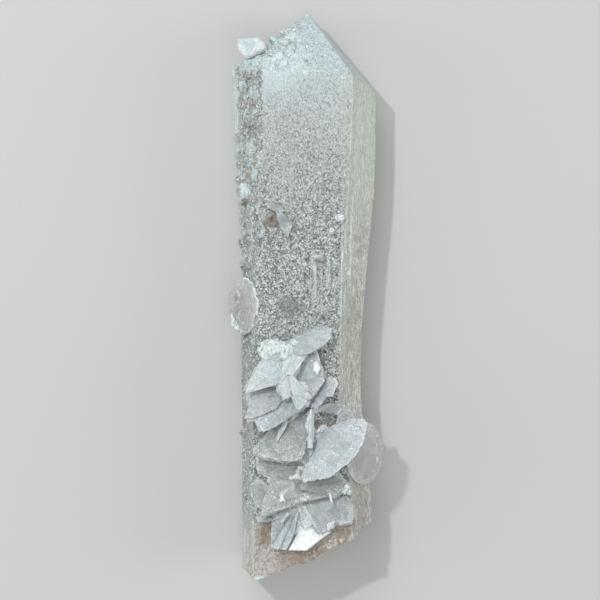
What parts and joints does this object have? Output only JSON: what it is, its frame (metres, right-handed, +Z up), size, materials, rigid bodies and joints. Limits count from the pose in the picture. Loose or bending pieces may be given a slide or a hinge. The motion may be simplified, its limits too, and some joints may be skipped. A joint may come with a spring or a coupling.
{
  "type": "velvet quartz specimen",
  "caption": "Flattened quartz crystal with a slanted broken base and velvety front, lying on its back, with a rosette of thin calcite blades and round calcite discs.",
  "frame": {"origin": "bottom centre of the bounding box, on the surface that the specimen lies on", "axes": "+Y along the crystal towards its point, +X across it, +Z up from the back face that it lies on"},
  "size_m": [0.0288, 0.1054, 0.0215],
  "materials": {
    "milky_quartz": "milky grey-green quartz, its front furred with sparkling crystal faces, its right side silky with long growth lines",
    "calcite_blade": "translucent bluish-white calcite blades with frosted white rims",
    "calcite_disc": "satin translucent grey calcite",
    "calcite_grain": "bright white calcite grains"
  },
  "bodies": {
    "root": {"quartz_crystal": "milky_quartz", "calcite_rosette": "calcite_blade", "calcite_side_disc": "calcite_disc", "calcite_edge_disc": "calcite_disc", "calcite_top_blade": "calcite_blade", "calcite_wedge": "calcite_blade", "calcite_grain_upper": "calcite_grain", "calcite_grain_lower": "calcite_grain"}
  },
  "joints": []
}
